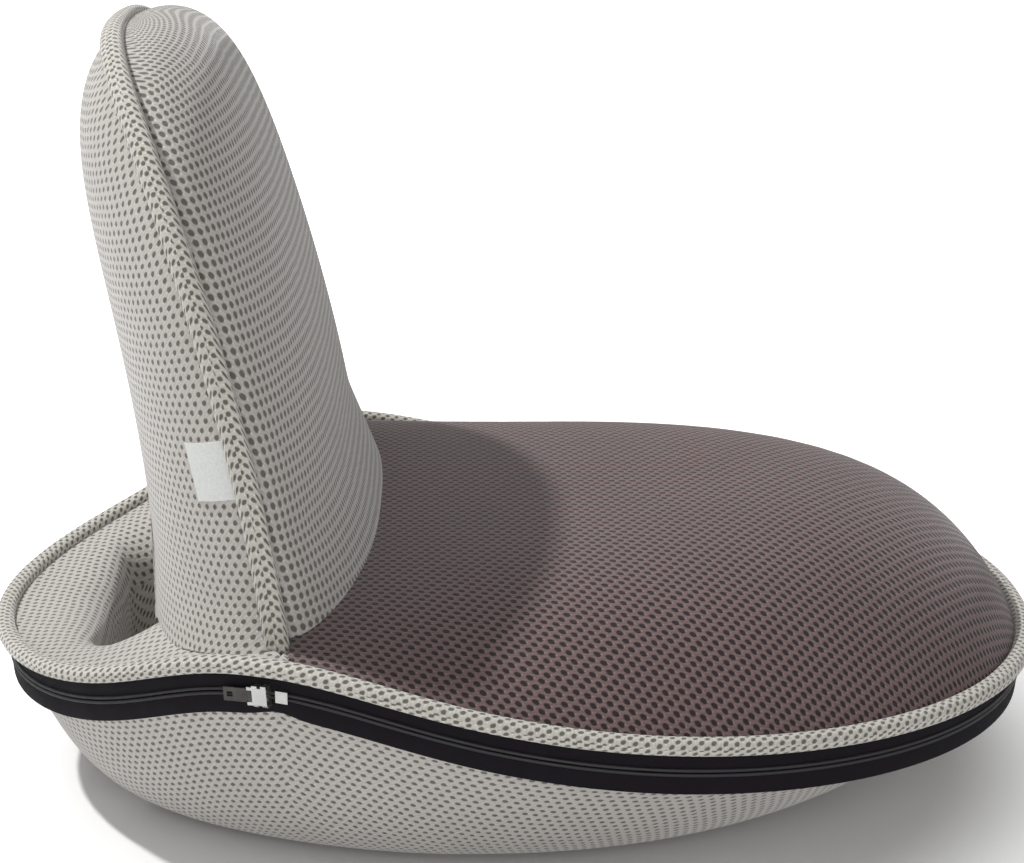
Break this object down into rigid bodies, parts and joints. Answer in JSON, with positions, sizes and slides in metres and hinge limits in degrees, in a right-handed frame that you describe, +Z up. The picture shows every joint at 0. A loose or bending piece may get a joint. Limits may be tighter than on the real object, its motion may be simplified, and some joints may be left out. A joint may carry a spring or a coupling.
{
  "type": "folding floor chair",
  "caption": "Padded floor chair: a saucer-shaped mesh base with a grip opening behind, and an arched backrest that reclines in steps and folds down over the seat.",
  "frame": {"origin": "on the floor, below the middle of the chair's outline from above", "axes": "+Z up, -Y is the way a sitter faces, +X is a sitter's left"},
  "size_m": [0.4963, 0.5743, 0.4187],
  "materials": {
    "spacer_mesh_grey": "light warm-grey spacer mesh with round holes",
    "spacer_mesh_mauve": "mauve-brown spacer mesh with a satin sheen",
    "mesh_binding": "light grey bias-cut mesh",
    "zip_tape": "black woven tape",
    "zip_coil": "black nylon coil",
    "zip_metal": "bright nickel",
    "zip_tab": "dark lacquer",
    "label_cloth": "off-white woven tape, bare",
    "foam": "open-cell foam",
    "steel_tube": "black powder coat",
    "hinge_steel": "zinc-plated sheet"
  },
  "bodies": {
    "base": {"base_hoop_front": "steel_tube", "base_hoop_rear": "steel_tube", "base_cross_tube": "steel_tube", "hinge_bracket_left": "hinge_steel", "hinge_bracket_right": "hinge_steel", "pawl_spring_left": "hinge_steel", "pawl_spring_right": "hinge_steel", "pivot_rivets": "hinge_steel", "pawl_pins": "hinge_steel", "base_foam": "foam", "seat_foam": "foam", "ring_foam": "foam", "bottom_cover": "spacer_mesh_grey", "ring_cover": "spacer_mesh_grey", "seat_cover": "spacer_mesh_mauve", "rim_piping": "mesh_binding", "zip_tape_upper": "zip_tape", "zip_tape_lower": "zip_tape", "zip_coil_upper": "zip_coil", "zip_coil_lower": "zip_coil", "zip_end_stop": "zip_metal"},
    "backrest": {"ratchet_arm_left": "hinge_steel", "ratchet_arm_right": "hinge_steel", "back_hoop": "steel_tube", "back_bar_lower": "steel_tube", "back_bar_upper": "steel_tube", "back_foam_front": "foam", "back_foam_rear": "foam", "back_cover_front": "spacer_mesh_grey", "back_cover_rear": "spacer_mesh_grey", "back_welt": "mesh_binding", "care_label": "label_cloth"},
    "pawl_left": {"pawl_left": "hinge_steel"},
    "pawl_right": {"pawl_right": "hinge_steel"},
    "slider": {"zip_slider": "zip_metal"},
    "pull_tab": {"zip_pull_tab": "zip_tab"}
  },
  "joints": [
    {"name": "back_fold", "type": "hinge", "parent": "base", "child": "backrest", "pos_m": [0, 0.118, 0.118], "axis": [1, 0, 0], "range_deg": [-12, 84], "deforming": ["seat_foam", "seat_cover"]},
    {"name": "pawl_lift_left", "type": "hinge", "parent": "base", "child": "pawl_left", "pos_m": [0.172, 0.138, 0.091], "axis": [1, 0, 0], "range_deg": [-7, 0], "stiffness_Nm_per_rad": 0.02, "deforming": ["pawl_spring_left"]},
    {"name": "pawl_lift_right", "type": "hinge", "parent": "base", "child": "pawl_right", "pos_m": [-0.172, 0.138, 0.091], "axis": [1, 0, 0], "range_deg": [-7, 0], "stiffness_Nm_per_rad": 0.02, "deforming": ["pawl_spring_right"]},
    {"name": "zip_slide", "type": "slide", "parent": "base", "child": "slider", "axis": [0.422, 0.9034, -0.076], "range_m": [0, 0.02]},
    {"name": "tab_swing", "type": "hinge", "parent": "slider", "child": "pull_tab", "pos_m": [-0.21877, 0.13126, 0.11353], "axis": [0.0322, 0.0688, 0.9971], "range_deg": [0, 100]}
  ]
}
